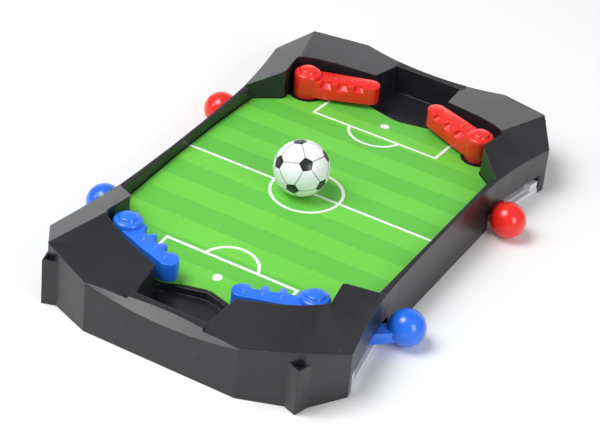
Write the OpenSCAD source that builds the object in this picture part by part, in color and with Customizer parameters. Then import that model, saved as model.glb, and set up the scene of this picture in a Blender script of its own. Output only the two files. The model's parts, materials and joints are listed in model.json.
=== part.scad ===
// Tabletop flipper football: a black frame with a domed pitch, a goal pocket at each end,
// four sprung flippers worked by ball-ended levers that stick out through the side walls,
// a white cover under each end and a loose ball. Millimetres, +Z up, origin under the middle.

/* [Frame] */
// Overall length, end wall to end wall
frame_len = 287.6; // [230:0.2:360]
// Overall width, across the widest corners
frame_wid = 174; // [140:0.2:220]
// Height of the side rims
rim_h = 27.9; // [24:0.1:34]
// Thickness of the moulded walls and skins
wall_t = 2.3; // [1.6:0.1:3]
// Height of the pitch surface at its middle
pitch_h = 22; // [20:0.1:25]
// Fall of the domed pitch from its middle to the flipper axes
crown_fall = 4.27; // [2:0.01:4.5]
// Thickness of the printed pitch sheet
sheet_t = 0.5; // [0.3:0.1:1]
// Height of the goal pocket floor
pocket_floor = 12; // [10.6:0.1:13]

/* [Flippers] */
// Distance of each flipper axis in from the widest corner
pivot_in_x = 32.8; // [32:0.1:34]
// Distance of each flipper axis in from the end wall
pivot_in_y = 53.3; // [52.5:0.1:54]
// Clear gap between the two flipper tips of one side
tip_gap = 31.6; // [30.8:0.1:36]
// How far the flipper tip lies behind its axis at rest
tip_back = 13.5; // [8:0.1:15]
// Radius of the rounded flipper tip
tip_r = 5.3; // [4.5:0.1:6]
// Radius of the round flipper boss
boss_r = 7.7; // [6.8:0.1:8.4]
// Top of the flipper blade
blade_top = 30.4; // [28:0.1:31.5]
// Radius of the flipper shaft
shaft_r = 3; // [2.6:0.1:3.4]

/* [Levers] */
// Radius of the ball knob
knob_r = 9.7; // [8:0.1:9.9]
// How far the knob lies nearer the halfway line than its axis
knob_fore = 32.6; // [28:0.1:36]
// Width of the flat lever bar
bar_w = 9; // [7:0.1:10]
// Height of the slot in the side wall
slot_h = 11.4; // [11.2:0.1:13]

/* [Ball] */
// Radius of the ball
ball_r = 15; // [12:0.1:15.2]
// Place of the ball across the pitch, counted from the middle
ball_x = -4.9; // [-20:0.1:20]
// Place of the ball along the pitch, counted from the middle
ball_y = -2.9; // [-12:0.1:12]

/* [Hidden] */
$fn = 64;
half_l = frame_len / 2;
half_w = frame_wid / 2;
// running clearance of a shaft in its bearing
run_gap = 0.05;
// air between pieces that never touch
air = 0.4;
// plan points counted in from the widest corner and the end wall
function corner(dx, dy) = [half_w - dx, half_l - dy];
// plan points of the goal, counted from the middle line
function goal(x, dy) = [x, half_l - dy];
// moves every edge of an anticlockwise outline inwards by t
function inset(p, t) = [
    for (i = [0:len(p) - 1])
        let (
            a = p[(i + len(p) - 1) % len(p)],
            b = p[i],
            c = p[(i + 1) % len(p)],
            u = (b - a) / norm(b - a),
            v = (c - b) / norm(c - b),
            m = [-u[1], u[0]],
            n = [-v[1], v[0]]
        )
        b + t * (m + n) / (1 + m * n)
];
// a quarter outline repeated over the four quarters, anticlockwise
function four(q) = concat(
    q,
    [for (i = [len(q) - 1:-1:0]) [-q[i][0], q[i][1]]],
    [for (p = q) -p],
    [for (i = [len(q) - 1:-1:0]) [q[i][0], -q[i][1]]]
);
// outer wall of one quarter, from the waist round to the end wall
waist_y = 10;
side_q = [
    [half_w - 10, waist_y], corner(9.2, 98.8), corner(8.5, 81.8), corner(6.5, 66.3),
    corner(3.8, 50.3), corner(0, 32.5)
];
end_q = [corner(13.6, 11.8), corner(43.6, 0)];
outer_q = concat(side_q, end_q);
// inner face of the hood, from the side wall round to the goal mouth
mouth = goal(22.9, 30.5);
pocket_back = goal(20.3, 9.5);
hood_q = [
    corner(12, 78.6), corner(24.2, 67.9), corner(25.3, 65.8), corner(22.6, 50.2),
    corner(23.4, 47.6), corner(26.4, 45), corner(31.6, 41.8), corner(41.7, 37.2), mouth
];
field_q = concat([[half_w - 12, waist_y]], hood_q);
// edge of the deck in front of the goal pocket
lip_q = [goal(24.8, 36), goal(15, 40)];
lip_apex = goal(0, 43.6);
// slopes of the two hood faces, as height at the origin and rise along x and y
goal_rise = [0.0844, -0.122];
side_rise = [-0.4621, 0.0438];
function face(h, rise) = [h - rise[0] * half_w - rise[1] * half_l, rise[0], rise[1]];
goal_face = face(rim_h + 4.9, goal_rise);
side_face = face(rim_h - 0.2, side_rise);
strip_h = rim_h + 0.6;
skirt_out = 2.3;
// heights of the deck
deck_h = pitch_h - sheet_t - 0.05;
deck_t = 2.4;
// foot of the inner hood walls, above the levers
wall_foot = pitch_h - 8.8;
// flipper axis and its two arms
pivot = corner(pivot_in_x, pivot_in_y);
tip = [tip_gap / 2 + tip_r - pivot[0], tip_back];
tip_len = norm(tip);
tip_turn = atan2(tip[1], tip[0]);
skirt_x = side_q[0][0] + skirt_out;
knob = [skirt_x + knob_r + 0.9 - pivot[0], -knob_fore];
knob_len = norm(knob);
knob_turn = atan2(knob[1], knob[0]);
knob_z = 10.4;
// heights along the flipper axis
crown_r = pow(pivot[1], 2) / (2 * crown_fall);
collar_r = boss_r + 1.2;
collar_h = pitch_h - crown_fall + 0.6;
boss_z = collar_h + air;
blade_z = pitch_h - 2.15;
boss_top = blade_top + 3;
button_h = 1.6;
hub_z = 4.5;
hub_top = 10.7;
hub_r = 7.5;
socket_z = 6.2;
drive_w = 4.2;
bearing_r = shaft_r + 2;
bearing_z = hub_top + air;
// return spring
wire_r = 0.4;
coil_r = bearing_r + 1.4;
coil_z = bearing_z + 0.55;
coil_pitch = 0.85;
leg_len = 9.5;
peg_r = 1.2;
post_r = 1.5;
// screws
pilot_r = 1.15;
thread_r = 1.1;
head_r = 2.6;
head_t = 1.6;
washer_t = 0.4;
washer_r = 3.4;
// covers
cover_z = 0.4;
cover_t = 1.6;
cover_top = cover_z + cover_t;
cover_y = half_l - 93.8;
cup_top = cover_z + 4;
cup_r = 4;
ledge_h = 3.2;
rail_h = 4.1;
slot_a = half_l - 86.8;
slot_b = half_l - 37.4;
tab_y = slot_b - air - 6.2;
screw_in = corner(61, 85.8);
screw_out = corner(37, 17.8);

// mirrors a piece drawn in the +X +Y quarter into another quarter
module quarter(sx, sy) {
    mirror([sx < 0 ? 1 : 0, 0, 0])
        mirror([0, sy < 0 ? 1 : 0, 0])
            children();
}

// repeats a piece of the +X +Y quarter in all four
module each_quarter() {
    for (sx = [1, -1], sy = [1, -1])
        quarter(sx, sy)
            children();
}

// repeats a piece of the +Y end at both ends
module each_end() {
    for (sy = [1, -1])
        quarter(1, sy)
            children();
}

// everything above a sloping face, lowered by drop
module above(face, drop) {
    rise = sqrt(1 + face[1] * face[1] + face[2] * face[2]);
    translate([0, 0, face[0] - drop * rise])
        rotate(a = acos(1 / rise), v = [face[2], -face[1], 0])
            translate([-400, -400, 0])
                cube([800, 800, 200]);
}

// everything below the dome whose crest is at height top
module dome(top) {
    translate([-150, 0, top - crown_r])
        rotate([0, 90, 0])
            cylinder(r = crown_r, h = 300, $fn = 200);
}

module prism(outline, z0, z1) {
    translate([0, 0, z0])
        linear_extrude(height = z1 - z0)
            polygon(outline);
}

// plan of one hood, anticlockwise
function hood_plan() = concat(
    [side_q[2], side_q[3], side_q[4], side_q[5]],
    end_q,
    [[pocket_back[0], half_l], pocket_back],
    [for (i = [len(hood_q) - 1:-1:0]) hood_q[i]]
);

// plan of one goal pocket, grown outwards by g
function pocket_plan(g) = inset(
    concat(
        [mouth, pocket_back, [-pocket_back[0], pocket_back[1]], [-mouth[0], mouth[1]]],
        [for (p = lip_q) [-p[0], p[1]]],
        [lip_apex, lip_q[1], lip_q[0]]
    ),
    -g
);

// the outside of the frame before it is hollowed
module outside() {
    prism(four(outer_q), 0, 20);
    intersection() {
        prism(four(outer_q), 1, rim_h);
        translate([-half_w, -side_q[2][1] - 0.5, 0])
            cube([frame_wid, 2 * side_q[2][1] + 1, rim_h]);
    }
    for (sx = [1, -1])
        quarter(sx, 1)
            skirt();
    each_quarter() {
        difference() {
            prism(hood_plan(), 1, 46);
            above(goal_face, 0);
            above(side_face, 0);
        }
        corner_fin();
    }
    each_end()
        translate([-pocket_back[0] - 1, lip_q[1][1], 1])
            cube([2 * pocket_back[0] + 2, half_l - lip_q[1][1], strip_h - 1]);
}

// the side wall leans outwards towards its foot
module skirt() {
    translate([0, side_q[2][1], 0])
        rotate([90, 0, 0])
            linear_extrude(height = 2 * side_q[2][1])
                polygon([
                    [side_q[0][0] - 1, 0], [skirt_x, 0],
                    [side_q[0][0] + 0.1, rim_h], [side_q[0][0] - 1, rim_h]
                ]);
}

// upright rib at the corner of the end wall, with a sunk top
module corner_fin() {
    fin = [corner(21.3, 8.8), corner(20, 13.8), corner(11.6, 15.2), corner(14.1, 6.1)];
    difference() {
        prism(fin, 0, rim_h - 1.5);
        prism(inset(fin, 1.2), rim_h - 3.3, rim_h);
    }
}

// the hollow under the deck, round both goal pockets
module under_hollow() {
    difference() {
        union() {
            prism(inset(four(outer_q), wall_t), -1, wall_foot);
            intersection() {
                prism(inset(four(field_q), 0.5), -1, 30);
                dome(deck_h - deck_t);
            }
        }
        each_end()
            prism(pocket_plan(2), pocket_floor - 2, 40);
    }
}

// the hollow inside one hood
module hood_hollow() {
    difference() {
        prism(inset(hood_plan(), wall_t), -1, 46);
        above(goal_face, wall_t);
        above(side_face, wall_t);
    }
}

// spherical scoop out of the top edge of the end wall
module scoop() {
    half = end_q[1][0];
    fall = 5.1;
    bite = 6.4;
    wall_r = (half * half + fall * fall) / (2 * fall);
    top_r = (half * half + bite * bite) / (2 * bite);
    cy = half_l - bite + top_r;
    cz = strip_h + 0.4 - fall + wall_r;
    translate([0, cy, cz])
        sphere(r = norm([wall_r, cy - half_l]), $fn = 128);
}

// slot that the lever swings in, open at the foot of the wall
module slot() {
    translate([side_q[1][0] - 6, slot_a, -1])
        cube([20, slot_b - slot_a, slot_h + 1]);
}

module frame() color("#222325") {
    difference() {
        union() {
            difference() {
                outside();
                difference() {
                    prism(four(field_q), 5, 60);
                    dome(deck_h);
                }
                each_end()
                    prism(pocket_plan(0), pocket_floor, 60);
                under_hollow();
                each_quarter()
                    hood_hollow();
                each_end()
                    translate([-end_q[1][0] + 3, pocket_back[1] + wall_t, -1])
                        cube([2 * end_q[1][0] - 6, half_l - pocket_back[1] - 2 * wall_t, 22.5]);
            }
            each_quarter() {
                translate([pivot[0], pivot[1], bearing_z])
                    cylinder(r = bearing_r, h = boss_z - air - bearing_z);
                translate([pivot[0], pivot[1], deck_h - deck_t - crown_fall])
                    cylinder(r = collar_r, h = collar_h - deck_h + deck_t + crown_fall);
                translate([screw_in[0], screw_in[1], cup_top + 0.1])
                    cylinder(r = cup_r - 0.6, h = pitch_h - 3.5 - cup_top);
                translate([screw_out[0], screw_out[1], cup_top + 0.1])
                    cylinder(r = cup_r - 0.6, h = rim_h - 1.5);
                translate([
                    pivot[0] - coil_r + wire_r + post_r + 0.05,
                    pivot[1] - leg_len + 0.7,
                    coil_z + 1.1
                ])
                    cylinder(r = post_r, h = 5);
            }
        }
        each_quarter() {
            slot();
            translate([pivot[0], pivot[1], 0])
                cylinder(r = shaft_r + run_gap, h = 40);
            translate([screw_in[0], screw_in[1], 0])
                cylinder(r = pilot_r, h = 13);
            translate([screw_out[0], screw_out[1], 0])
                cylinder(r = pilot_r, h = 20);
        }
        each_end()
            scoop();
    }
}

// printed sheet laid on the domed deck
module pitch_sheet() color("#6fd455") {
    sheet_q = [
        field_q[0], hood_q[0], hood_q[1], hood_q[2], corner(24.4, 60.8), pivot + [4, -3],
        pivot + [-4, 6], corner(38.7, 38.5), lip_q[0] + [-0.4, -1.4],
        lip_q[1] + [-0.4, -1.4], lip_apex + [2, -1.2]
    ];
    difference() {
        intersection() {
            prism(inset(four(sheet_q), 0.5), 5, 30);
            dome(pitch_h);
        }
        dome(pitch_h - sheet_t);
        each_quarter()
            translate([pivot[0], pivot[1], 0])
                cylinder(r = collar_r + 0.4, h = 40);
    }
}

module ball() color("#f4f4f2") {
    rest_z = pitch_h - crown_r + sqrt(pow(crown_r + ball_r, 2) - pow(ball_y, 2));
    translate([ball_x, ball_y, rest_z])
        sphere(r = ball_r, $fn = 96);
}

// one moulding: boss, shaft, drive and notched blade, drawn about its own axis
module flipper_piece() {
    blade_h = blade_top - blade_z;
    difference() {
        union() {
            translate([0, 0, boss_z])
                cylinder(r = boss_r, h = boss_top - 1 - boss_z);
            translate([0, 0, boss_top - 1])
                cylinder(r1 = boss_r, r2 = boss_r - 1, h = 1);
            translate([0, 0, boss_top])
                cylinder(r = boss_r - 2.9, h = button_h);
            translate([0, 0, hub_top + 0.1])
                cylinder(r = shaft_r, h = boss_z - hub_top);
            translate([-drive_w / 2, -drive_w / 2, socket_z + 0.2])
                cube([drive_w, drive_w, 6]);
            translate([0, 0, blade_z])
                rotate([0, 0, tip_turn]) {
                    linear_extrude(height = blade_h)
                        polygon([
                            [0, -boss_r + 0.9], [tip_len, -tip_r],
                            [tip_len, tip_r], [0, boss_r - 0.9]
                        ]);
                    translate([tip_len, 0, 0])
                        cylinder(r = tip_r, h = blade_h);
                    for (i = [0:2])
                        translate([tip_len - 1.4 - i * 9.2, -0.6, blade_h])
                            cylinder(r = 1.2, h = 0.6);
                }
        }
        rotate([0, 0, tip_turn])
            for (i = [0:2])
                translate([tip_len - 8.6 - i * 9.2, 2.2, blade_top - 3.2])
                    cube([5, 6, 5]);
        translate([0, 0, socket_z])
            cylinder(r = pilot_r, h = 10);
        translate([0, 0, boss_top - 0.5])
            difference() {
                cylinder(r = boss_r - 2.1, h = 1);
                cylinder(r = boss_r - 2.9, h = 1);
            }
    }
}

// one moulding: hub, flat bar and ball knob, drawn about the flipper axis
module lever_piece() {
    difference() {
        union() {
            translate([0, 0, hub_z])
                cylinder(r = hub_r, h = hub_top - hub_z);
            rotate([0, 0, knob_turn])
                translate([0, -bar_w / 2, hub_z])
                    cube([knob_len, bar_w, hub_top - hub_z]);
            translate([knob[0], knob[1], knob_z])
                sphere(r = knob_r, $fn = 96);
            rotate([0, 0, knob_turn])
                spring_lug();
        }
        translate([-drive_w / 2 - 0.1, -drive_w / 2 - 0.1, socket_z])
            cube([drive_w + 0.2, drive_w + 0.2, 10]);
        translate([0, 0, 0])
            cylinder(r = thread_r + 0.3, h = 10);
    }
}

// lug beside the hub, with a peg that the spring leg presses on
module spring_lug() {
    peg_y = -coil_r - wire_r - peg_r - 0.05;
    translate([leg_len - 2.2, peg_y - 1.6, hub_z])
        cube([3.2, 6, hub_top - hub_z]);
    translate([leg_len - 0.6, peg_y, hub_z])
        cylinder(r = peg_r, h = coil_z + 1 - hub_z);
}

// return spring round the bearing: coils, one leg to the frame post and one to the lever peg
module spring_piece() {
    wire = 2 * wire_r;
    for (i = [0:2])
        translate([0, 0, coil_z + i * coil_pitch - wire_r])
            difference() {
                cylinder(r = coil_r + wire_r, h = wire - 0.1);
                translate([0, 0, -1])
                    cylinder(r = coil_r - wire_r, h = wire + 2);
            }
    translate([coil_r - wire_r, -0.6, coil_z - wire_r + 0.1])
        cube([wire - 0.1, 1.2, 2 * coil_pitch + 0.3]);
    translate([-coil_r - wire_r + 0.05, -leg_len, coil_z + 2 * coil_pitch - wire_r + 0.05])
        cube([wire - 0.1, leg_len, wire - 0.2]);
    rotate([0, 0, knob_turn])
        translate([0, -coil_r - wire_r + 0.05, coil_z - wire_r + 0.05])
            cube([leg_len, wire - 0.1, wire - 0.2]);
}

// cross-head screw, head down, its thread length above the head
module cross_screw(thread_len) {
    difference() {
        cylinder(r = head_r, h = head_t);
        for (a = [0, 90])
            rotate([0, 0, a])
                translate([-head_r * 0.7, -0.35, -1])
                    cube([head_r * 1.4, 0.7, 1.8]);
    }
    translate([0, 0, head_t / 2])
        cylinder(r = thread_r, h = head_t / 2 + thread_len);
}

module screw_piece() {
    translate([0, 0, hub_z - washer_t - head_t])
        cross_screw(10);
}

module washer_piece() {
    translate([0, 0, hub_z - washer_t])
        difference() {
            cylinder(r = washer_r, h = washer_t);
            translate([0, 0, -1])
                cylinder(r = thread_r + 0.2, h = washer_t + 2);
        }
}

// places a piece drawn about the flipper axis at one of the four axes
module at_pivot(sx, sy) {
    quarter(sx, sy)
        translate([pivot[0], pivot[1], 0])
            children();
}

// plan of the outer wall of one half end, used by the ledge in the slot
function wall_at(y) = lookup(y, [for (p = side_q) [p[1], p[0]]]);

// white cover under one end, with a ledge, a rail and a stop tab in each slot
module cover_piece() {
    difference() {
        union() {
            intersection() {
                prism(inset(four(outer_q), wall_t + air), cover_z, cover_top);
                translate([-half_w, cover_y, 0])
                    cube([frame_wid, half_l, 5]);
            }
            for (sx = [1, -1])
                quarter(sx, 1)
                    slot_rail();
            for (sx = [1, -1])
                quarter(sx, 1)
                    for (p = [screw_in, screw_out])
                        translate([p[0], p[1], cover_z])
                            cylinder(r = cup_r, h = cup_top - cover_z);
        }
        for (sx = [1, -1])
            quarter(sx, 1)
                for (p = [screw_in, screw_out])
                    translate([p[0], p[1], 0]) {
                        cylinder(r = thread_r + 0.3, h = 6);
                        cylinder(r = head_r + 0.3, h = cup_top - 1.6);
                    }
    }
}

// ledge, rail and tab of one slot, and the post the lever rests against
module slot_rail() {
    ya = slot_a + air;
    yb = slot_b - air;
    edge = [[wall_at(ya), ya], side_q[2], side_q[3], side_q[4], [wall_at(yb), yb]];
    back = [for (i = [4:-1:0]) edge[i] - [6, 0]];
    mid = [for (i = [4:-1:0]) edge[i] - [2.6, 0]];
    difference() {
        prism(concat(edge, back), cover_z, ledge_h);
        prism(concat([for (p = edge) p - [2, 0]], mid), cover_top, 5);
    }
    prism(concat([for (p = edge) p - [2.6, 0]], back), cover_z, rail_h);
    prism([
        [wall_at(tab_y) - 5, tab_y], [wall_at(tab_y) - 0.6, tab_y],
        [wall_at(yb) - 0.6, yb], [wall_at(yb) - 5, yb]
    ], cover_z, 7.6);
    rotate_post();
}

module rotate_post() {
    translate([pivot[0], pivot[1], cover_z])
        rotate([0, 0, knob_turn])
            translate([18, -bar_w / 2 - 2.35, 0])
                cylinder(r = 2, h = 9);
}

module cover_screws() color("#b9bcc0") {
    each_quarter()
        for (p = [screw_in, screw_out])
            translate([p[0], p[1], cup_top - 1.65 - head_t])
                cross_screw(10);
}

module cover_blue() color("#f1f2f5") quarter(1, -1) cover_piece();
module cover_red() color("#f1f2f5") cover_piece();
module flipper_blue_left() color("#1f63e0") at_pivot(-1, -1) flipper_piece();
module flipper_blue_right() color("#1f63e0") at_pivot(1, -1) flipper_piece();
module flipper_red_left() color("#e3231f") at_pivot(-1, 1) flipper_piece();
module flipper_red_right() color("#e3231f") at_pivot(1, 1) flipper_piece();
module lever_blue_left() color("#1f63e0") at_pivot(-1, -1) lever_piece();
module lever_blue_right() color("#1f63e0") at_pivot(1, -1) lever_piece();
module lever_red_left() color("#e3231f") at_pivot(-1, 1) lever_piece();
module lever_red_right() color("#e3231f") at_pivot(1, 1) lever_piece();
module spring_blue_left() color("#9ea2a7") at_pivot(-1, -1) spring_piece();
module spring_blue_right() color("#9ea2a7") at_pivot(1, -1) spring_piece();
module spring_red_left() color("#9ea2a7") at_pivot(-1, 1) spring_piece();
module spring_red_right() color("#9ea2a7") at_pivot(1, 1) spring_piece();
module screw_blue_left() color("#b9bcc0") at_pivot(-1, -1) screw_piece();
module screw_blue_right() color("#b9bcc0") at_pivot(1, -1) screw_piece();
module screw_red_left() color("#b9bcc0") at_pivot(-1, 1) screw_piece();
module screw_red_right() color("#b9bcc0") at_pivot(1, 1) screw_piece();
module washer_blue_left() color("#8d9095") at_pivot(-1, -1) washer_piece();
module washer_blue_right() color("#8d9095") at_pivot(1, -1) washer_piece();
module washer_red_left() color("#8d9095") at_pivot(-1, 1) washer_piece();
module washer_red_right() color("#8d9095") at_pivot(1, 1) washer_piece();

frame();
pitch_sheet();
ball();
cover_blue();
cover_red();
cover_screws();
flipper_blue_left();
flipper_blue_right();
flipper_red_left();
flipper_red_right();
lever_blue_left();
lever_blue_right();
lever_red_left();
lever_red_right();
spring_blue_left();
spring_blue_right();
spring_red_left();
spring_red_right();
screw_blue_left();
screw_blue_right();
screw_red_left();
screw_red_right();
washer_blue_left();
washer_blue_right();
washer_red_left();
washer_red_right();
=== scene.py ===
"""Tabletop flipper football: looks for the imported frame. Metres, +Z up, +Y towards the red end."""

import json
import math

import bmesh
import bpy
from mathutils import Matrix, Vector


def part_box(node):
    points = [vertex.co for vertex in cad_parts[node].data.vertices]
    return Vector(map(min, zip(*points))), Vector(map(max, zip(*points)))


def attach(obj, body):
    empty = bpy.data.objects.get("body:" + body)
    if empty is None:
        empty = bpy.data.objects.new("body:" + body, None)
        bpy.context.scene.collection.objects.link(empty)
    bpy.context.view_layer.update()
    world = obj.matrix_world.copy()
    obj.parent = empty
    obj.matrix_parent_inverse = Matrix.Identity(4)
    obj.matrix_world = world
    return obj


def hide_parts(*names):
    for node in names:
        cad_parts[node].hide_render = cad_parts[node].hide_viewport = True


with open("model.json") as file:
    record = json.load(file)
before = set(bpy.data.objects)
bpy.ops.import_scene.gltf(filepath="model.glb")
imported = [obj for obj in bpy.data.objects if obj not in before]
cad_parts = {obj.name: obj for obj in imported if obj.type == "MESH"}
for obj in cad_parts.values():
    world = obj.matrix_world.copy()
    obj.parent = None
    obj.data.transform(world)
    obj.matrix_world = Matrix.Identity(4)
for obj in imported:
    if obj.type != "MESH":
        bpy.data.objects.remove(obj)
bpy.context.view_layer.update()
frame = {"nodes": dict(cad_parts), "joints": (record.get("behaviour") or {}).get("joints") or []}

MM = 0.001
ENDS = {"blue": -1, "red": 1}
SIDES = {"left": -1, "right": 1}
CORNERS = [(end, side, SIDES[side], ENDS[end]) for end in ENDS for side in SIDES]
PIVOTS = {joint["child"]: joint["pos_m"] for joint in frame["joints"] if joint["type"] == "hinge"}

# flipper sizes
BOSS_R = 7.7 * MM
TIP_R = 5.3 * MM
BLADE_H = 10.55 * MM
BUTTON_RISE = 4.6 * MM
NOTCHES = 3
NOTCH_STEP = 9.2 * MM


# ---------------------------------------------------------------- shader helpers


class Shader:
    """Builds one material's nodes in order, left to right."""

    def __init__(self, name):
        self.material = bpy.data.materials.new(name)
        self.material.use_nodes = True
        self.nodes = self.material.node_tree.nodes
        self.links = self.material.node_tree.links
        self.bsdf = self.nodes["Principled BSDF"]
        self.position = self.node("ShaderNodeTexCoord").outputs["Object"]

    def node(self, kind, **settings):
        made = self.nodes.new(kind)
        for key, value in settings.items():
            setattr(made, key, value)
        return made

    def put(self, value, socket):
        if isinstance(value, bpy.types.NodeSocket):
            self.links.new(value, socket)
        else:
            socket.default_value = value

    def math(self, operation, a, b=0.0):
        made = self.node("ShaderNodeMath", operation=operation)
        self.put(a, made.inputs[0])
        self.put(b, made.inputs[1])
        return made.outputs[0]

    def axes(self):
        return self.split(self.position)

    def split(self, vector):
        made = self.node("ShaderNodeSeparateXYZ")
        self.links.new(vector, made.inputs[0])
        return made.outputs[0], made.outputs[1], made.outputs[2]

    def noise(self, scale, detail=4.0, roughness=0.55):
        made = self.node("ShaderNodeTexNoise")
        self.links.new(self.position, made.inputs["Vector"])
        made.inputs["Scale"].default_value = scale
        made.inputs["Detail"].default_value = detail
        made.inputs["Roughness"].default_value = roughness
        return made.outputs["Fac"]

    def spread(self, value, low, high, to_low, to_high):
        made = self.node("ShaderNodeMapRange", clamp=True)
        for socket, number in zip(made.inputs, (value, low, high, to_low, to_high)):
            self.put(number, socket)
        return made.outputs["Result"]

    def mix(self, factor, a, b):
        made = self.node("ShaderNodeMix", data_type="RGBA")
        self.put(factor, made.inputs["Factor"])
        self.put(a, made.inputs["A"])
        self.put(b, made.inputs["B"])
        return made.outputs["Result"]

    def bump(self, height, strength, distance, edge=0.0):
        made = self.node("ShaderNodeBump")
        made.inputs["Strength"].default_value = strength
        made.inputs["Distance"].default_value = distance
        self.links.new(height, made.inputs["Height"])
        if edge:
            rounded = self.node("ShaderNodeBevel", samples=6)
            rounded.inputs["Radius"].default_value = edge
            self.links.new(rounded.outputs["Normal"], made.inputs["Normal"])
        self.links.new(made.outputs["Normal"], self.bsdf.inputs["Normal"])

    def set(self, **values):
        for key, value in values.items():
            self.put(value, self.bsdf.inputs[key.replace("_", " ")])


def rgb(r, g, b):
    return (r, g, b, 1.0)


def edge_highlight_mask(shader, low=0.53, high=0.62):
    """Mask for a painted edge highlight: one on the sharpest convex edges, zero on flat and hollow places.
    """
    pointy = shader.node("ShaderNodeNewGeometry").outputs["Pointiness"]
    return shader.spread(pointy, low, high, 0.0, 1.0)


def black_plastic():
    s = Shader("black_plastic")
    cloud = s.noise(26.0, 3.0)
    grain = s.noise(2600.0, 2.0)
    specks = s.spread(s.noise(420.0, 1.0, 0.2), 0.81, 0.84, 0.0, 0.2)
    tone = s.mix(cloud, rgb(0.0140, 0.0130, 0.0170), rgb(0.0205, 0.0195, 0.0240))
    # painted highlight: lighter grey on the sharpest convex edges of the black plastic
    tone = s.mix(s.math("MULTIPLY", edge_highlight_mask(s), 0.35), tone, rgb(0.05, 0.05, 0.055))
    s.set(Base_Color=s.mix(specks, tone, rgb(0.28, 0.28, 0.28)))
    rough = s.math("ADD", s.spread(cloud, 0.3, 0.7, 0.22, 0.28), s.math("MULTIPLY", grain, 0.04))
    s.set(Roughness=rough, IOR=1.5)
    s.bump(grain, 0.12, 0.00006, edge=0.0007)
    return s.material


def coloured_plastic(name, deep, bright):
    s = Shader(name)
    cloud = s.noise(60.0, 3.0)
    grain = s.noise(1900.0, 2.0)
    tone = s.mix(s.spread(cloud, 0.3, 0.7, 0.0, 1.0), deep, bright)
    # painted highlight: paler, brighter colour on the sharpest convex edges
    pale = s.math("MULTIPLY", edge_highlight_mask(s, 0.52, 0.6), 0.22)
    s.set(Base_Color=s.mix(pale, tone, rgb(*(min(1.0, c * 1.5 + 0.06) for c in bright[:3]))))
    s.set(Roughness=s.spread(grain, 0.2, 0.8, 0.20, 0.30), IOR=1.5, Subsurface_Weight=0.06)
    s.bsdf.inputs["Subsurface Radius"].default_value = (0.004, 0.002, 0.002)
    s.bsdf.inputs["Subsurface Scale"].default_value = 0.4
    s.bsdf.inputs["Coat Weight"].default_value = 0.25
    s.bsdf.inputs["Coat Roughness"].default_value = 0.12
    s.bump(grain, 0.08, 0.00005, edge=0.0004)
    return s.material


def white_plastic():
    s = Shader("white_plastic")
    cloud = s.noise(45.0, 3.0)
    grain = s.noise(1500.0, 2.0)
    s.set(Base_Color=s.mix(cloud, rgb(0.74, 0.75, 0.80), rgb(0.84, 0.85, 0.89)))
    s.set(Roughness=s.spread(grain, 0.2, 0.8, 0.34, 0.46))
    s.bump(grain, 0.1, 0.00005, edge=0.0003)
    return s.material


def steel(name, tone, rough):
    s = Shader(name)
    grain = s.noise(900.0, 3.0)
    s.set(Base_Color=s.mix(grain, rgb(*(c * 0.8 for c in tone)), rgb(*tone)))
    s.set(Metallic=1.0, Roughness=s.spread(grain, 0.2, 0.8, rough, rough + 0.14))
    s.bump(grain, 0.15, 0.00004, edge=0.00015)
    return s.material


def pitch_print():
    """Printed sheet: mown bands, white lines, circle, boxes, spots and arcs."""
    box_y = 75.0 * MM
    box_x = 38.2 * MM
    spot_y = 88.0 * MM
    spot_r = 2.6 * MM
    arc_x = 15.3 * MM
    arc_depth = 12.3 * MM
    circle_r = 19.4 * MM
    half_line = 0.85 * MM
    band = 14.3 * MM
    bands_ahead = 20  # even, so that the colours stay, and enough to keep the phase positive
    print_shift = 2.05 * MM
    s = Shader("pitch_print")
    x, y, _ = s.axes()
    x = s.math("ADD", x, print_shift)
    far_x = s.math("ABSOLUTE", x)
    far_y = s.math("ABSOLUTE", y)

    def within(value, centre, half):
        return s.math("LESS_THAN", s.math("ABSOLUTE", s.math("SUBTRACT", value, centre)), half)

    def distance(cx, cy):
        dx = s.math("SUBTRACT", x, cx)
        dy = s.math("SUBTRACT", far_y, cy)
        return s.math("SQRT", s.math("ADD", s.math("MULTIPLY", dx, dx), s.math("MULTIPLY", dy, dy)))

    def ring(cx, cy, radius, half):
        return within(distance(cx, cy), radius, half)

    def both(a, b):
        return s.math("MINIMUM", a, b)

    def either(*parts):
        total = parts[0]
        for part in parts[1:]:
            total = s.math("MAXIMUM", total, part)
        return total

    arc_r = (arc_x * arc_x + arc_depth * arc_depth) / (2 * arc_depth)
    arc_y = box_y - arc_depth + arc_r
    inside = s.math("LESS_THAN", far_y, box_y)
    lines = either(
        within(y, 0.0, half_line),
        ring(0.0, 0.0, circle_r, half_line),
        both(within(far_y, box_y, half_line), s.math("LESS_THAN", far_x, box_x + half_line)),
        both(within(far_x, box_x, half_line), s.math("GREATER_THAN", far_y, box_y)),
        both(ring(0.0, arc_y, arc_r, half_line), inside),
        s.math("LESS_THAN", distance(0.0, spot_y), spot_r),
    )
    phase = s.math("FRACT", s.math("DIVIDE", s.math("ADD", y, bands_ahead * band), 2.0 * band))
    dark = s.math("LESS_THAN", phase, 0.5)
    blades = s.noise(620.0, 5.0, 0.7)
    patches = s.noise(30.0, 3.0)
    light_green = s.mix(blades, rgb(0.137, 0.590, 0.048), rgb(0.208, 0.705, 0.088))
    dark_green = s.mix(blades, rgb(0.104, 0.497, 0.045), rgb(0.158, 0.612, 0.080))
    grass = s.mix(dark, light_green, dark_green)
    grass = s.mix(s.spread(patches, 0.3, 0.7, 0.0, 0.14), grass, rgb(0.09, 0.46, 0.03))
    s.set(Base_Color=s.mix(lines, grass, rgb(0.90, 0.92, 0.88)))
    s.set(Roughness=s.spread(blades, 0.2, 0.8, 0.42, 0.56))
    s.bsdf.inputs["Specular IOR Level"].default_value = 0.35
    s.bump(blades, 0.08, 0.00005)
    return s.material


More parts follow.
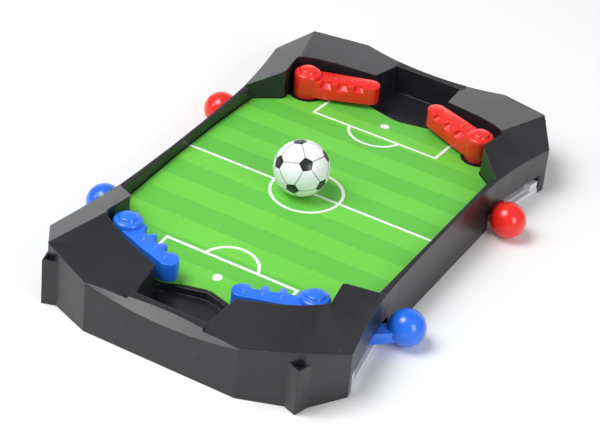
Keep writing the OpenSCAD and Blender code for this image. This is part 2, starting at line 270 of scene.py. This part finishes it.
def ball_skin(name, deep, bright, rough):
    s = Shader(name)
    grain = s.noise(1300.0, 3.0)
    cloud = s.noise(90.0, 3.0)
    s.set(Base_Color=s.mix(cloud, deep, bright))
    s.set(Roughness=s.spread(grain, 0.2, 0.8, rough, rough + 0.1))
    s.bump(grain, 0.12, 0.00006)
    return s.material


BLACK = black_plastic()
WHITE = white_plastic()
PITCH = pitch_print()
PLASTIC = {
    "blue": coloured_plastic("blue_plastic", rgb(0.012, 0.150, 0.82), rgb(0.026, 0.205, 0.93)),
    "red": coloured_plastic("red_plastic", rgb(0.86, 0.011, 0.007), rgb(0.95, 0.028, 0.018)),
}
SPRING_STEEL = steel("spring_steel", (0.42, 0.42, 0.44), 0.25)
SCREW_STEEL = steel("screw_steel", (0.62, 0.62, 0.64), 0.22)
BALL_WHITE = ball_skin("ball_white", rgb(0.93, 0.94, 0.97), rgb(0.965, 0.97, 0.99), 0.20)
BALL_BLACK = ball_skin("ball_black", rgb(0.012, 0.012, 0.014), rgb(0.03, 0.03, 0.033), 0.22)


# ---------------------------------------------------------------- mesh helpers


def make(name, bm, *materials):
    mesh = bpy.data.meshes.new(name)
    bm.to_mesh(mesh)
    bm.free()
    made = bpy.data.objects.new(name, mesh)
    bpy.context.scene.collection.objects.link(made)
    for material in materials:
        mesh.materials.append(material)
    return made


def prism(outline, z0, z1):
    """Upright block over a closed outline of (x, y) points."""
    bm = bmesh.new()
    low = [bm.verts.new((x, y, z0)) for x, y in outline]
    high = [bm.verts.new((x, y, z1)) for x, y in outline]
    bm.faces.new(low[::-1])
    bm.faces.new(high)
    count = len(outline)
    for i in range(count):
        j = (i + 1) % count
        bm.faces.new((low[i], low[j], high[j], high[i]))
    bmesh.ops.recalc_face_normals(bm, faces=bm.faces)
    return bm


def revolve(profile, steps):
    """Solid of revolution about Z from (radius, z) points that start and end on the axis."""
    bm = bmesh.new()
    rings = []
    for radius, z in profile:
        if radius == 0:
            rings.append([bm.verts.new((0, 0, z))])
        else:
            turns = [2 * math.pi * i / steps for i in range(steps)]
            rings.append([bm.verts.new((radius * math.cos(a), radius * math.sin(a), z)) for a in turns])
    for a, b in zip(rings, rings[1:]):
        for i in range(steps):
            j = (i + 1) % steps
            corners = [a[i % len(a)], a[j % len(a)], b[j % len(b)], b[i % len(b)]]
            unique = list(dict.fromkeys(corners))
            if len(unique) > 2:
                bm.faces.new(unique)
    bmesh.ops.recalc_face_normals(bm, faces=bm.faces)
    return bm


def arc(cx, cy, radius, start, end, steps):
    turns = [math.radians(start + (end - start) * i / steps) for i in range(steps + 1)]
    return [(cx + radius * math.cos(a), cy + radius * math.sin(a)) for a in turns]


def combine(base, others, operation):
    """Cuts the other objects from the base, or adds them, and removes them."""
    for other in others:
        modifier = base.modifiers.new(operation.lower(), "BOOLEAN")
        modifier.operation = operation
        modifier.object = other
        modifier.solver = "EXACT"
    bake(base)
    for other in others:
        bpy.data.objects.remove(other)


def bake(obj):
    """Replaces an object's mesh by what its modifiers make of it."""
    bpy.context.view_layer.update()
    graph = bpy.context.evaluated_depsgraph_get()
    mesh = bpy.data.meshes.new_from_object(obj.evaluated_get(graph))
    obj.modifiers.clear()
    obj.data = mesh


def round_edges(obj, width):
    """Rounds every edge that turns by more than 32 degrees."""
    modifier = obj.modifiers.new("round", "BEVEL")
    modifier.width = width
    modifier.segments = 3
    modifier.limit_method = "ANGLE"
    modifier.angle_limit = math.radians(32)
    modifier.use_clamp_overlap = True
    bake(obj)


def soften(obj, angle):
    """Shades smooth, apart from edges sharper than the angle in degrees."""
    obj.data.polygons.foreach_set("use_smooth", [True] * len(obj.data.polygons))
    obj.data.set_sharp_from_angle(angle=math.radians(angle))
    obj.data.update()


def join(base, other):
    """Adds the other object's mesh to the base."""
    bm = bmesh.new()
    bm.from_mesh(base.data)
    bm.from_mesh(other.data)
    bm.to_mesh(base.data)
    bm.free()
    bpy.data.objects.remove(other)


def move(obj, matrix):
    """Moves the mesh, and keeps its faces outwards where the matrix mirrors it."""
    obj.data.transform(matrix)
    if matrix.to_3x3().determinant() < 0:
        obj.data.flip_normals()


def to_corner(sx, sy, pivot):
    """From a piece drawn round the origin, for the +X +Y corner, to its own corner's pivot."""
    return Matrix.Translation(Vector((pivot[0], pivot[1], 0))) @ Matrix.Diagonal((sx, sy, 1, 1))


def view_axes():
    """Camera's right, up and back directions as the columns of a matrix."""
    azimuth = math.radians(26.714)
    elevation = math.radians(34.36)
    roll = math.radians(-6.054)
    back = Vector((
        math.sin(azimuth) * math.cos(elevation),
        -math.cos(azimuth) * math.cos(elevation),
        math.sin(elevation),
    ))
    right = Vector((0, 0, 1)).cross(back).normalized()
    up = back.cross(right)
    across = right * math.cos(roll) - up * math.sin(roll)
    rise = up * math.cos(roll) + right * math.sin(roll)
    return Matrix((across, rise, back)).transposed()


# ---------------------------------------------------------------- pieces


def notch_cutter(along, blade_top):
    """Cutter for one notch, wider and deeper towards the blade's pitch side."""
    # across the blade, height from its top and half width, in millimetres
    corners = [(2.3, 2.0, 1.9), (2.3, -1.9, 1.9), (8.5, -5.2, 3.9), (8.5, 2.0, 3.9)]
    bm = bmesh.new()
    walls = [
        [bm.verts.new((along + way * half * MM, v * MM, blade_top + z * MM)) for v, z, half in corners]
        for way in (-1, 1)
    ]
    bm.faces.new(walls[0])
    bm.faces.new(walls[1][::-1])
    for k in range(len(corners)):
        j = (k + 1) % len(corners)
        bm.faces.new((walls[0][k], walls[1][k], walls[1][j], walls[0][j]))
    bmesh.ops.recalc_face_normals(bm, faces=bm.faces)
    return make("notch", bm)


def raised_dot(along, blade_top, material):
    """Low rounded dot on top of the blade, drawn in millimetres and scaled to metres."""
    off_middle = -1.2 * MM
    profile = [(0, 0.75), (0.9, 0.7), (1.35, 0.42), (1.5, 0.0), (1.55, -0.4), (0, -0.4)]
    dot = make("nub", revolve(profile, 28), material)
    place = Matrix.Translation((along, off_middle, blade_top))
    dot.data.transform(place @ Matrix.Scale(MM, 4))
    return dot


def blade_skin(name, length, top, material):
    """Tapered blade along +X from the boss to its round tip, notched and dotted."""
    root = BOSS_R - 0.9 * MM
    middle = 0.5 * (root + TIP_R)
    hood_bulge = 0.25 * MM
    pitch_bulge = 0.1 * MM
    edge = 0.55 * MM
    first_notch = length - 6.1 * MM
    first_dot = length - 1.4 * MM
    outline = [(0, -root), (length * 0.5, -middle - hood_bulge)]
    outline += arc(length, 0, TIP_R, -90, 90, 20)
    outline += [(length * 0.5, middle + pitch_bulge), (0, root)]
    blade = make(name, prism(outline, top - BLADE_H, top), material)
    combine(blade, [notch_cutter(first_notch - i * NOTCH_STEP, top) for i in range(NOTCHES)], "DIFFERENCE")
    round_edges(blade, edge)
    for i in range(NOTCHES):
        join(blade, raised_dot(first_dot - i * NOTCH_STEP, top, material))
    return blade


def boss_skin(top, foot, shaft_foot, material):
    """Boss with a round-edged button, and its shaft below."""
    shaft_r = 3.0 * MM
    edge = 0.5 * MM
    # radius and drop from the top, in millimetres
    rim = [
        (3.6, 0.0), (4.3, 0.25), (4.75, 0.8), (4.9, 1.45), (5.15, 1.65),
        (5.9, 1.7), (6.7, 1.95), (7.3, 2.5), (7.6, 3.2),
    ]
    profile = [(0, top)]
    profile += [(radius * MM, top - drop * MM) for radius, drop in rim]
    profile += [
        (BOSS_R, top - 4.2 * MM), (BOSS_R, foot + edge), (BOSS_R - 0.4 * MM, foot),
        (shaft_r, foot), (shaft_r, shaft_foot), (0, shaft_foot),
    ]
    return make("boss", revolve(profile, 80), material)


def flipper(end, side, sx, sy):
    """Boss with a raised button, and a blade with three notches on its pitch side."""
    node = f"flipper_{end}_{side}"
    body = f"paddle_{end}_{side}"
    low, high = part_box(node)
    pivot = PIVOTS[body]
    top = high[2]
    blade_top = top - BUTTON_RISE
    boss_foot = blade_top - BLADE_H - 1.05 * MM
    shaft_foot = low[2] + 7.5 * MM
    inner = min(abs(low[0]), abs(high[0])) + TIP_R
    outer = max(abs(low[1]), abs(high[1])) - TIP_R
    reach = Vector((inner - abs(pivot[0]), outer - abs(pivot[1])))
    turn = Matrix.Rotation(math.atan2(reach.y, reach.x), 4, "Z")
    blade = blade_skin(node + "_skin", reach.length, blade_top, PLASTIC[end])
    blade.data.transform(turn)
    join(blade, boss_skin(top, boss_foot, shaft_foot, PLASTIC[end]))
    soften(blade, 40)
    move(blade, to_corner(sx, sy, pivot))
    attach(blade, body)
    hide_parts(node)


def lever(end, side, sx, sy):
    """Hub, flat bar and ball knob in one moulding."""
    node = f"lever_{end}_{side}"
    body = f"paddle_{end}_{side}"
    low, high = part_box(node)
    pivot = PIVOTS[body]
    knob_r = (high[2] - low[2]) / 2
    knob_z = (high[2] + low[2]) / 2
    knob_x = max(abs(low[0]), abs(high[0])) - knob_r
    knob_y = min(abs(low[1]), abs(high[1])) + knob_r
    arm = Vector((knob_x - abs(pivot[0]), knob_y - abs(pivot[1])))
    turn = Matrix.Rotation(math.atan2(arm.y, arm.x), 4, "Z")
    half = 4.5 * MM
    hub_r = 7.5 * MM
    edge = 0.6 * MM
    seam_half = 0.35 * MM
    seam_depth = 0.004
    bar_z = (4.5 * MM, 10.7 * MM)
    outline = [(0, -half), (arm.length, -half), (arm.length, half), (0, half)]
    bar = make(node + "_skin", prism(outline, *bar_z), PLASTIC[end])
    hub = make("hub", prism(arc(0, 0, hub_r, 0, 355, 71), *bar_z), PLASTIC[end])
    combine(bar, [hub], "UNION")
    round_edges(bar, edge)
    bar.data.transform(turn)
    bm = bmesh.new()
    bmesh.ops.create_uvsphere(bm, u_segments=72, v_segments=48, radius=knob_r)
    for vert in bm.verts:
        seam = math.exp(-((vert.co.z / seam_half) ** 2))
        vert.co *= 1 - seam_depth * seam
    knob = make("knob", bm, PLASTIC[end])
    knob.data.transform(Matrix.Translation((arm.x, arm.y, knob_z)))
    join(bar, knob)
    soften(bar, 40)
    move(bar, to_corner(sx, sy, pivot))
    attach(bar, body)
    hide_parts(node)


def spring(end, side, sx, sy):
    """Wound wire round the bearing, with its two straight legs."""
    node = f"spring_{end}_{side}"
    low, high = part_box(node)
    pivot = PIVOTS[f"paddle_{end}_{side}"]
    wire_r = 0.36 * MM
    coil_r = 6.4 * MM
    leg_len = 4.5 * MM
    top_gap = 0.1 * MM
    z0 = low[2] + wire_r
    z1 = high[2] - wire_r - top_gap
    turns = 2.6
    start = math.radians(-132)
    points = []
    steps = 96
    for i in range(steps + 1):
        angle = start + 2 * math.pi * turns * i / steps
        z = z0 + (z1 - z0) * i / steps
        points.append(Vector((coil_r * math.cos(angle), coil_r * math.sin(angle), z)))
    for base, behind in ((0, 1), (-1, -2)):
        way = (points[base] - points[behind]).normalized()
        way.z = 0
        leg = points[base] + way * leg_len
        points.insert(0 if base == 0 else len(points), leg)
    curve = bpy.data.curves.new(node + "_wire", "CURVE")
    curve.dimensions = "3D"
    curve.bevel_depth = wire_r
    curve.bevel_resolution = 4
    curve.use_fill_caps = True
    spline = curve.splines.new("POLY")
    spline.points.add(len(points) - 1)
    for knot, point in zip(spline.points, points):
        knot.co = (pivot[0] + sx * point.x, pivot[1] + sy * point.y, point.z, 1)
    made = bpy.data.objects.new(node + "_wire", curve)
    bpy.context.scene.collection.objects.link(made)
    curve.materials.append(SPRING_STEEL)
    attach(made, "table")
    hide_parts(node)


def ordered(points, axis):
    """Sorts points round an axis."""
    u = (points[0] - axis * points[0].dot(axis)).normalized()
    v = axis.cross(u)
    return sorted(points, key=lambda p: math.atan2(p.dot(v), p.dot(u)))


def add_panel(bm, ring, slot_index, radius, tilt):
    """One patch as a fan of small faces pushed out to the ball, a little lower along its seam."""
    steps = 9
    seam_depth = 0.003
    seam_sharpness = 12
    middle = sum(ring, Vector()) / len(ring)
    known = {}

    def point(i, k, t):
        a = ring[k]
        b = ring[(k + 1) % len(ring)]
        return middle.lerp(a.lerp(b, t), i / steps)

    def vertex(i, k, t):
        flat = point(i, k, t)
        key = tuple(round(c, 5) for c in flat)
        if key not in known:
            puff = 1 - seam_depth * (i / steps) ** seam_sharpness
            known[key] = bm.verts.new(tilt @ flat.normalized() * radius * puff)
        return known[key]

    for k in range(len(ring)):
        for i in range(steps):
            for j in range(i + 1):
                outer_a = vertex(i + 1, k, j / (i + 1))
                outer_b = vertex(i + 1, k, (j + 1) / (i + 1))
                inner_a = vertex(i, k, j / i if i else 0)
                face = bm.faces.new((inner_a, outer_a, outer_b))
                face.material_index = slot_index
                if j < i:
                    inner_b = vertex(i, k, (j + 1) / i)
                    face = bm.faces.new((inner_a, outer_b, inner_b))
                    face.material_index = slot_index


def add_seam(bm, a, b, radius, tilt):
    """Row of short printed dashes along the seam between two white patches."""
    dashes = 7
    half = 0.020
    gap = 0.24
    level = 0.9995
    across = a.cross(b).normalized() * half
    for i in range(dashes):
        start = a.lerp(b, (i + gap) / dashes)
        stop = a.lerp(b, (i + 1 - gap) / dashes)
        corners = [start - across, stop - across, stop + across, start + across]
        face = bm.faces.new([bm.verts.new(tilt @ c.normalized() * radius * level) for c in corners])
        face.material_index = 1


def football():
    """Truncated icosahedron blown up to a ball: twelve black patches, twenty white, dashed seams.

    One black patch faces the camera, leaning a little to the right and up.
    """
    patch_size = 0.26
    lean = Vector((0.164, 0.09, 0.98)).normalized()
    spin = math.radians(25.9)
    low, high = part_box("ball")
    radius = (high[2] - low[2]) / 2
    centre = Vector([(a + b) / 2 for a, b in zip(low, high)])
    seed = bmesh.new()
    bmesh.ops.create_icosphere(seed, subdivisions=1, radius=1.0)
    tops = [v.co.normalized() for v in seed.verts]
    sides = [[tops[v.index] for v in f.verts] for f in seed.faces]
    spans = [(tops[e.verts[0].index], tops[e.verts[1].index]) for e in seed.edges]
    seed.free()

    def cut(a, b):
        return a.lerp(b, patch_size)

    seen = view_axes()
    pole = seen @ lean
    side = seen @ Vector((math.cos(spin), math.sin(spin), 0))
    side = (side - pole * side.dot(pole)).normalized()
    tilt = Matrix((side, pole.cross(side), pole)).transposed()
    panels = []
    for top in tops:
        near = [cut(a, b) if a == top else cut(b, a) for a, b in spans if top in (a, b)]
        panels.append((ordered(near, top), 1))
    for a, b, c in sides:
        ring = [cut(a, b), cut(b, a), cut(b, c), cut(c, b), cut(c, a), cut(a, c)]
        panels.append((ring, 0))
    bm = bmesh.new()
    for ring, slot_index in panels:
        add_panel(bm, ring, slot_index, radius, tilt)
    for a, b in spans:
        add_seam(bm, cut(a, b), cut(b, a), radius, tilt)
    made = make("ball_skin", bm, BALL_WHITE, BALL_BLACK)
    made.data.transform(Matrix.Translation(centre))
    soften(made, 60)
    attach(made, "ball")
    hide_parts("ball")


def dress(node, material):
    """Gives a carried-over CAD node its material."""
    obj = frame["nodes"][node]
    if not obj.material_slots:
        obj.data.materials.append(material)
    for slot_item in obj.material_slots:
        slot_item.material = material


dress("frame", BLACK)
dress("pitch_sheet", PITCH)
dress("cover_blue", WHITE)
dress("cover_red", WHITE)
dress("cover_screws", SCREW_STEEL)
for corner in CORNERS:
    flipper(*corner)
    lever(*corner)
    spring(*corner)
    dress(f"screw_{corner[0]}_{corner[1]}", SCREW_STEEL)
    dress(f"washer_{corner[0]}_{corner[1]}", SCREW_STEEL)
football()


# ---------------------------------------------------------------- camera and studio


def camera():
    """Looks down at the near blue end from the right, turned a little about its own axis."""
    place = (0.42003, -0.84378, 0.65348)
    data = bpy.data.cameras.new("camera")
    data.sensor_width = 36.0
    data.lens = 129.86
    made = bpy.data.objects.new("camera", data)
    made.matrix_world = Matrix.Translation(place) @ view_axes().to_4x4()
    bpy.context.scene.collection.objects.link(made)
    bpy.context.scene.camera = made


def softbox(name, place, aim, width, height, watts):
    """Rectangular light that faces the aim."""
    data = bpy.data.lights.new(name, "AREA")
    data.shape = "RECTANGLE"
    data.size = width
    data.size_y = height
    data.energy = watts
    made = bpy.data.objects.new(name, data)
    made.location = place
    made.rotation_euler = (Vector(aim) - Vector(place)).to_track_quat("-Z", "Y").to_euler()
    bpy.context.scene.collection.objects.link(made)


def floor_finish():
    s = Shader("pale_floor")
    s.set(Base_Color=s.mix(s.noise(3.0), rgb(0.93, 0.93, 0.93), rgb(0.95, 0.95, 0.95)))
    s.set(Roughness=0.9)
    s.bsdf.inputs["Specular IOR Level"].default_value = 0.1
    return s.material


def studio():
    """Pale floor, dim even surroundings and four soft lights."""
    bm = bmesh.new()
    bmesh.ops.create_grid(bm, x_segments=1, y_segments=1, size=6.0)
    floor = make("floor", bm, floor_finish())
    world = bpy.data.worlds.new("studio")
    bpy.context.scene.world = world
    world.use_nodes = True
    background = world.node_tree.nodes["Background"]
    background.inputs["Color"].default_value = rgb(0.95, 0.97, 1.0)
    background.inputs["Strength"].default_value = 0.34
    softbox("overhead", (-0.52, -0.5, 1.45), (0, 0, 0), 0.85, 0.75, 18)
    softbox("front_left", (-1.1, -0.9, 1.0), (0, 0, 0), 0.5, 0.8, 4.5)
    softbox("front_right", (1.3, -0.5, 0.75), (0, 0, 0), 0.5, 0.9, 8)
    softbox("backdrop", (-0.8, 2.6, 0.6), (0, 0, 0.1), 5.0, 1.1, 15)
    bpy.context.scene.view_settings.view_transform = "Standard"


camera()
studio()
